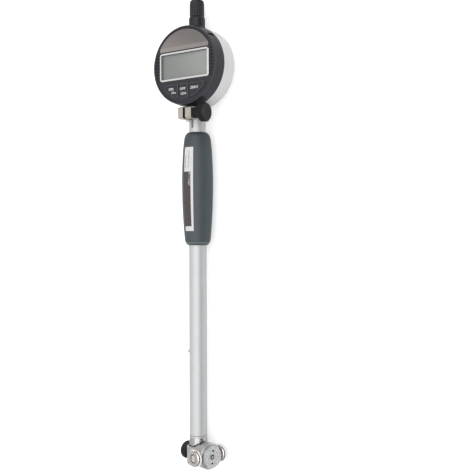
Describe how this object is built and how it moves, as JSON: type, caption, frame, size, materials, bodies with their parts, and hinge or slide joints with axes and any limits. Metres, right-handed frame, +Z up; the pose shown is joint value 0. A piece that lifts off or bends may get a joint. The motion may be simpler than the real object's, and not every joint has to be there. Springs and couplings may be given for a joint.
{
  "type": "dial bore gauge",
  "caption": "Digital dial bore gauge: round display on a long tube with a barrel grip, and a measuring head with a sprung contact and two guide wheels.",
  "frame": {"origin": "on the bench, under the centre of the gauge as it lies on its back", "axes": "+Y along the tube from the measuring head to the display, +Z up, out of the display, +X to the right of someone reading it"},
  "size_m": [0.0624, 0.3616, 0.0318],
  "materials": {
    "case_metal": "fine matt",
    "black_plastic": "fine moulded grain",
    "black_anodised": "satin black",
    "tube_steel": "fine ground",
    "head_steel": "matt",
    "clamp_steel": "matt",
    "polished": "polished",
    "plain_steel": "ground",
    "bronze": "turned",
    "spring_steel": "drawn",
    "grip_plastic": "fine grain",
    "label_film": "gloss",
    "screen": "gloss",
    "clear_window": "clear",
    "window_film": "gloss",
    "bright_frame": "bright",
    "circuit_board": "solder mask",
    "cell_steel": "nickelled"
  },
  "bodies": {
    "frame": {"main_tube": "tube_steel", "clamp_collar": "clamp_steel", "handle_grip": "grip_plastic", "handle_label": "label_film", "guide_pin": "black_anodised", "rod_bush_upper": "bronze", "rod_bush_lower": "bronze", "push_rod_spring": "spring_steel", "head_collar": "head_steel", "head_body": "head_steel", "front_cap": "head_steel", "lever_pin": "plain_steel", "anvil_seat": "head_steel", "centring_spring": "spring_steel"},
    "indicator": {"indicator_case": "case_metal", "rear_cover": "case_metal", "rear_cover_screws": "plain_steel", "stem": "plain_steel", "top_sleeve": "black_anodised", "dust_cap": "black_anodised", "upper_bush": "bronze", "lower_bush": "bronze", "sensor_board": "circuit_board", "spindle_spring": "spring_steel"},
    "display": {"display_housing": "black_plastic", "display_base": "black_plastic", "display_retainer": "plain_steel", "display_board": "circuit_board", "lcd_frame": "bright_frame", "lcd_panel": "screen", "lcd_window": "clear_window", "window_plate": "window_film", "battery": "cell_steel", "data_socket": "black_plastic"},
    "unit_key": {"unit_button": "black_plastic"},
    "power_key": {"power_button": "black_plastic"},
    "zero_key": {"zero_button": "black_plastic"},
    "spindle_assembly": {"spindle": "plain_steel", "contact_point": "plain_steel", "scale_carrier": "plain_steel", "scale_strip": "circuit_board"},
    "rod": {"push_rod": "plain_steel"},
    "contact": {"contact_plunger": "plain_steel", "contact_tip": "polished"},
    "lever": {"bell_crank": "plain_steel"},
    "slide": {"centring_slide": "plain_steel", "wheel_posts": "head_steel", "wheel_screws": "plain_steel"},
    "left_wheel": {"guide_wheel_left": "polished"},
    "right_wheel": {"guide_wheel_right": "polished"},
    "lock_nut": {"anvil_nut": "black_anodised"},
    "thumbscrew": {"thumbscrew_stud": "plain_steel", "thumbscrew_knob": "black_plastic"}
  },
  "joints": [
    {"name": "indicator_turn", "type": "hinge", "parent": "frame", "child": "indicator", "pos_m": [0.00019, 0.0912, 0.01226], "axis": [-0.0003, 1, 0.0033], "range_deg": [-180, 15]},
    {"name": "display_turn", "type": "hinge", "parent": "indicator", "child": "display", "pos_m": [-0.0004, 0.12798, 0.01936], "axis": [-0.083, -0.0033, 0.9965], "range_deg": [-135, 135]},
    {"name": "unit_press", "type": "slide", "parent": "display", "child": "unit_key", "axis": [0.083, 0.0033, -0.9965], "range_m": [0, 0.0004], "stiffness_N_per_m": 200, "springref_m": -0.0005},
    {"name": "power_press", "type": "slide", "parent": "display", "child": "power_key", "axis": [0.083, 0.0033, -0.9965], "range_m": [0, 0.0004], "stiffness_N_per_m": 200, "springref_m": -0.0005},
    {"name": "zero_press", "type": "slide", "parent": "display", "child": "zero_key", "axis": [0.083, 0.0033, -0.9965], "range_m": [0, 0.0004], "stiffness_N_per_m": 200, "springref_m": -0.0005},
    {"name": "contact_slide", "type": "slide", "parent": "frame", "child": "contact", "axis": [-0.9384, 0.0009, -0.3455], "range_m": [0, 0.0012], "stiffness_N_per_m": 400, "springref_m": -0.003},
    {"name": "lever_turn", "type": "hinge", "parent": "frame", "child": "lever", "pos_m": [0.00495, -0.1658, 0.01315], "axis": [0.3455, 0.0032, -0.9384], "range_deg": [0, 14]},
    {"name": "rod_slide", "type": "slide", "parent": "frame", "child": "rod", "axis": [-0.0003, 1, 0.0033], "range_m": [0, 0.00125]},
    {"name": "spindle_slide", "type": "slide", "parent": "indicator", "child": "spindle_assembly", "axis": [-0.0003, 1, 0.0033], "range_m": [0, 0.00125]},
    {"name": "centring_slide_travel", "type": "slide", "parent": "frame", "child": "slide", "axis": [-0.9384, 0.0009, -0.3455], "range_m": [0, 0.0015], "stiffness_N_per_m": 500, "springref_m": -0.003},
    {"name": "left_wheel_spin", "type": "hinge", "parent": "slide", "child": "left_wheel", "pos_m": [0.00707, -0.17085, 0.02696], "axis": [0.3455, 0.0032, -0.9384], "continuous": true},
    {"name": "right_wheel_spin", "type": "hinge", "parent": "slide", "child": "right_wheel", "pos_m": [0.01553, -0.17077, 0.00397], "axis": [0.3455, 0.0032, -0.9384], "continuous": true},
    {"name": "lock_nut_turn", "type": "hinge", "parent": "frame", "child": "lock_nut", "pos_m": [-0.011, -0.17079, 0.00726], "axis": [0.9384, -0.0009, 0.3455], "range_deg": [-180, 180]},
    {"name": "thumbscrew_turn", "type": "hinge", "parent": "frame", "child": "thumbscrew", "pos_m": [-0.00072, 0.09166, 0.02323], "axis": [0.9966, 0, 0.083], "range_deg": [-180, 180]}
  ],
  "couplings": [
    {"joint": "lever_turn", "follows": "contact_slide", "rad_per_m": 200},
    {"joint": "rod_slide", "follows": "contact_slide", "ratio": 1},
    {"joint": "spindle_slide", "follows": "contact_slide", "ratio": 1}
  ]
}
